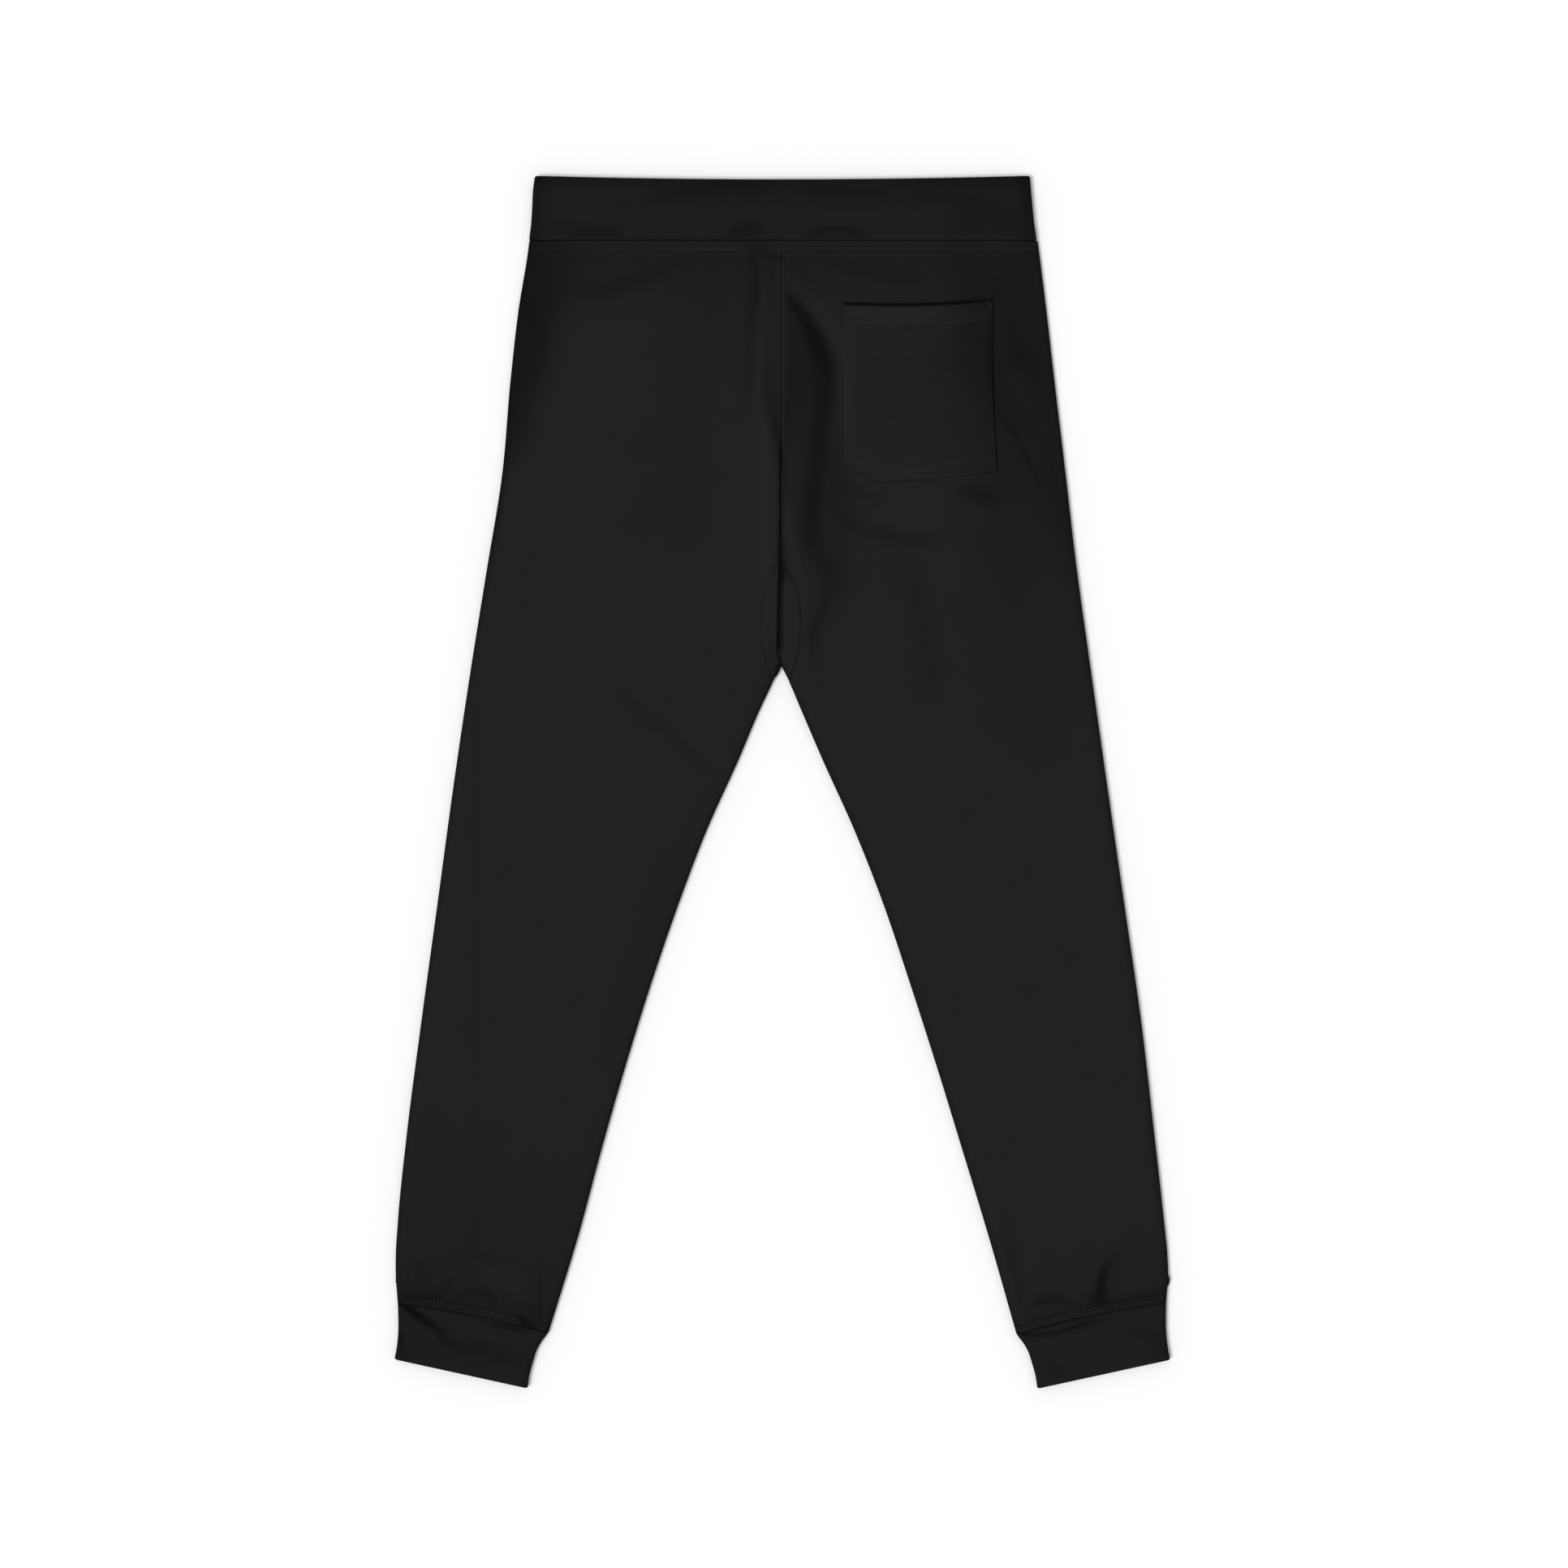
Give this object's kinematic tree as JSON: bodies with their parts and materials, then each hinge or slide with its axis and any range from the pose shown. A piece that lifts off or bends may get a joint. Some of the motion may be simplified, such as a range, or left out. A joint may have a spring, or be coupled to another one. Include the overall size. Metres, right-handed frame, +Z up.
{
  "type": "jogger sweatpants",
  "caption": "Fleece jogger sweatpants lying flat with the back up, with an elastic waistband, a patch pocket behind, a crotch gusset and fine rib ankle cuffs.",
  "frame": {"origin": "on the surface that the garment lies on, in the middle of its outline", "axes": "+Z up from the surface, +Y from the cuffs towards the waistband, +X towards the wearer's right"},
  "size_m": [0.6547, 1.0226, 0.0112],
  "materials": {
    "fleece": "black brushed-back jersey, matt face with a fine knit and a little fuzz",
    "band": "black jersey doubled over elastic, smooth and matt",
    "rib": "black fine rib knit, doubled, matt",
    "thread": "black polyester sewing thread, slightly lustrous"
  },
  "bodies": {
    "root": {"back_left": "fleece", "back_right": "fleece", "front_left": "fleece", "front_right": "fleece", "gusset": "fleece", "back_pocket": "fleece", "waistband": "band", "cuff_left": "rib", "cuff_right": "rib"}
  },
  "joints": []
}
